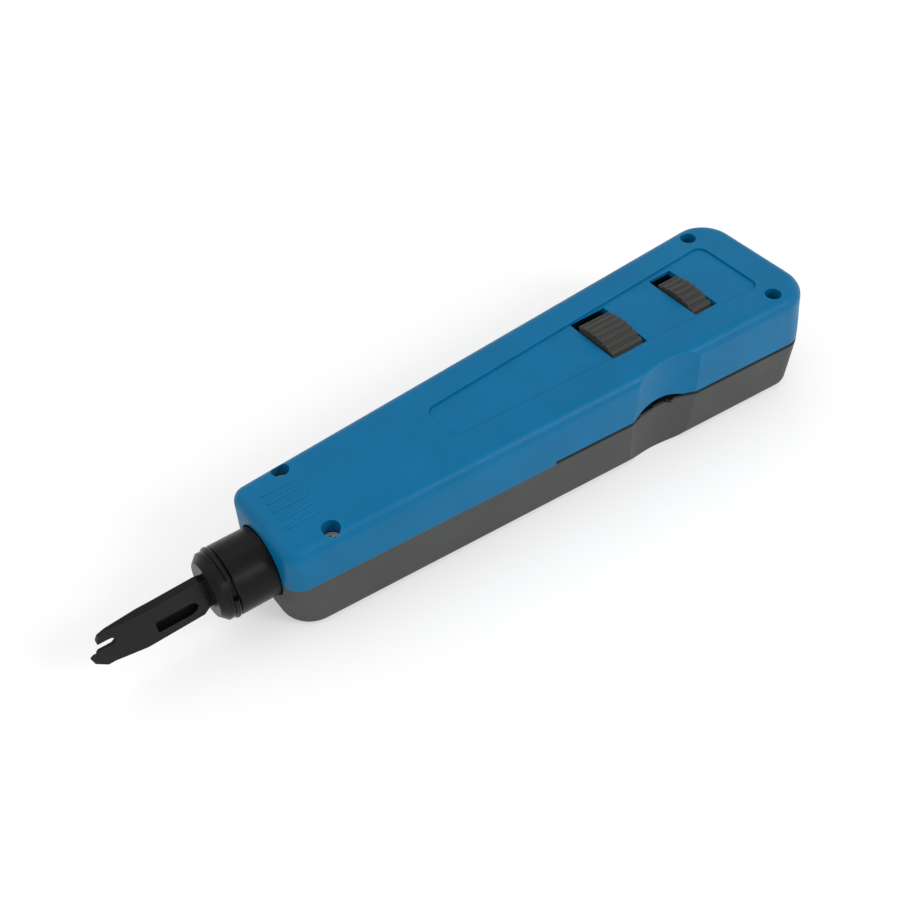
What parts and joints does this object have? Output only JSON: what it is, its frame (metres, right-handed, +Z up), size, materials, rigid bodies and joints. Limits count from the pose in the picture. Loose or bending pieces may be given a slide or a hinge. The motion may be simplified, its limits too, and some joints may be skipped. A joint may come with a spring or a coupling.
{
  "type": "punch down tool",
  "caption": "Hand-held spring-impact tool that seats wires into terminal blocks with a forked blade; two-part tapered case, ribbed thumb wheels and fold-out hook and spudger.",
  "frame": {"origin": "on the resting plane under the middle of the tool's overall box", "axes": "+X along the case from the blade's tip towards the butt, +Z up out of the face with the thumb wheels; the side with the tool slot faces -Y"},
  "size_m": [0.1786, 0.0374, 0.0292],
  "materials": {
    "blue_plastic": "satin moulded",
    "grey_plastic": "satin moulded",
    "wheel_plastic": "satin moulded, ribbed",
    "black_metal": "black oxide, satin",
    "cutter_steel": "black oxide, ground edge",
    "bright_steel": "zinc plated",
    "spring_steel": "drawn wire",
    "brass": "turned",
    "rubber": "moulded",
    "tool_steel": "stamped"
  },
  "bodies": {
    "case": {"upper_shell": "blue_plastic", "lower_shell": "grey_plastic", "case_screws": "bright_steel", "front_bushing": "brass", "bumper_ring": "rubber", "trip_ring": "bright_steel", "thrust_washer": "bright_steel", "lock_axle": "bright_steel", "force_click_spring": "spring_steel", "lock_click_spring": "spring_steel", "spudger_pin": "bright_steel", "return_spring": "spring_steel", "main_spring": "spring_steel"},
    "plunger": {"blade_holder": "black_metal", "detent_pin": "bright_steel", "detent_ring": "black_metal", "blade_body": "black_metal", "blade_cutter": "cutter_steel"},
    "hammer": {"hammer": "bright_steel", "sear_spring": "spring_steel"},
    "sear": {"sear": "bright_steel"},
    "spring_seat": {"spring_seat": "brass"},
    "force_wheel": {"force_wheel": "wheel_plastic"},
    "lock_wheel": {"lock_wheel": "wheel_plastic"},
    "spudger": {"spudger_tool": "tool_steel"},
    "hook": {"hook_tool": "tool_steel"}
  },
  "joints": [
    {"name": "plunger_slide", "type": "slide", "parent": "case", "child": "plunger", "axis": [1, 0, 0], "range_m": [0, 0.008], "stiffness_N_per_m": 1500, "springref_m": -0.006, "deforming": ["return_spring"]},
    {"name": "hammer_slide", "type": "slide", "parent": "case", "child": "hammer", "axis": [1, 0, 0], "range_m": [0, 0.008], "deforming": ["main_spring"]},
    {"name": "sear_slide", "type": "slide", "parent": "hammer", "child": "sear", "axis": [0, 0, -1], "range_m": [0, 0.001], "deforming": ["sear_spring"]},
    {"name": "force_wheel_turn", "type": "hinge", "parent": "case", "child": "force_wheel", "pos_m": [0.0403, 0, 0.0152], "axis": [-1, 0, 0], "range_deg": [0, 24]},
    {"name": "spring_seat_slide", "type": "slide", "parent": "case", "child": "spring_seat", "axis": [-1, 0, 0], "range_m": [0, 0.002]},
    {"name": "lock_wheel_turn", "type": "hinge", "parent": "case", "child": "lock_wheel", "pos_m": [0.0633, 0, 0.0152], "axis": [-1, 0, 0], "range_deg": [0, 24]},
    {"name": "spudger_swing", "type": "hinge", "parent": "case", "child": "spudger", "pos_m": [0.0178, -0.0104, 0.014], "axis": [0, 0, -1], "range_deg": [0, 90]},
    {"name": "hook_swing", "type": "hinge", "parent": "case", "child": "hook", "pos_m": [0.0787, -0.0139, 0.014], "axis": [0, 0, 1], "range_deg": [0, 180]}
  ],
  "couplings": [
    {"joint": "hammer_slide", "follows": "plunger_slide", "ratio": 1},
    {"joint": "sear_slide", "follows": "plunger_slide", "ratio": 0.125},
    {"joint": "force_wheel_turn", "follows": "spring_seat_slide", "rad_per_m": 209.44}
  ]
}
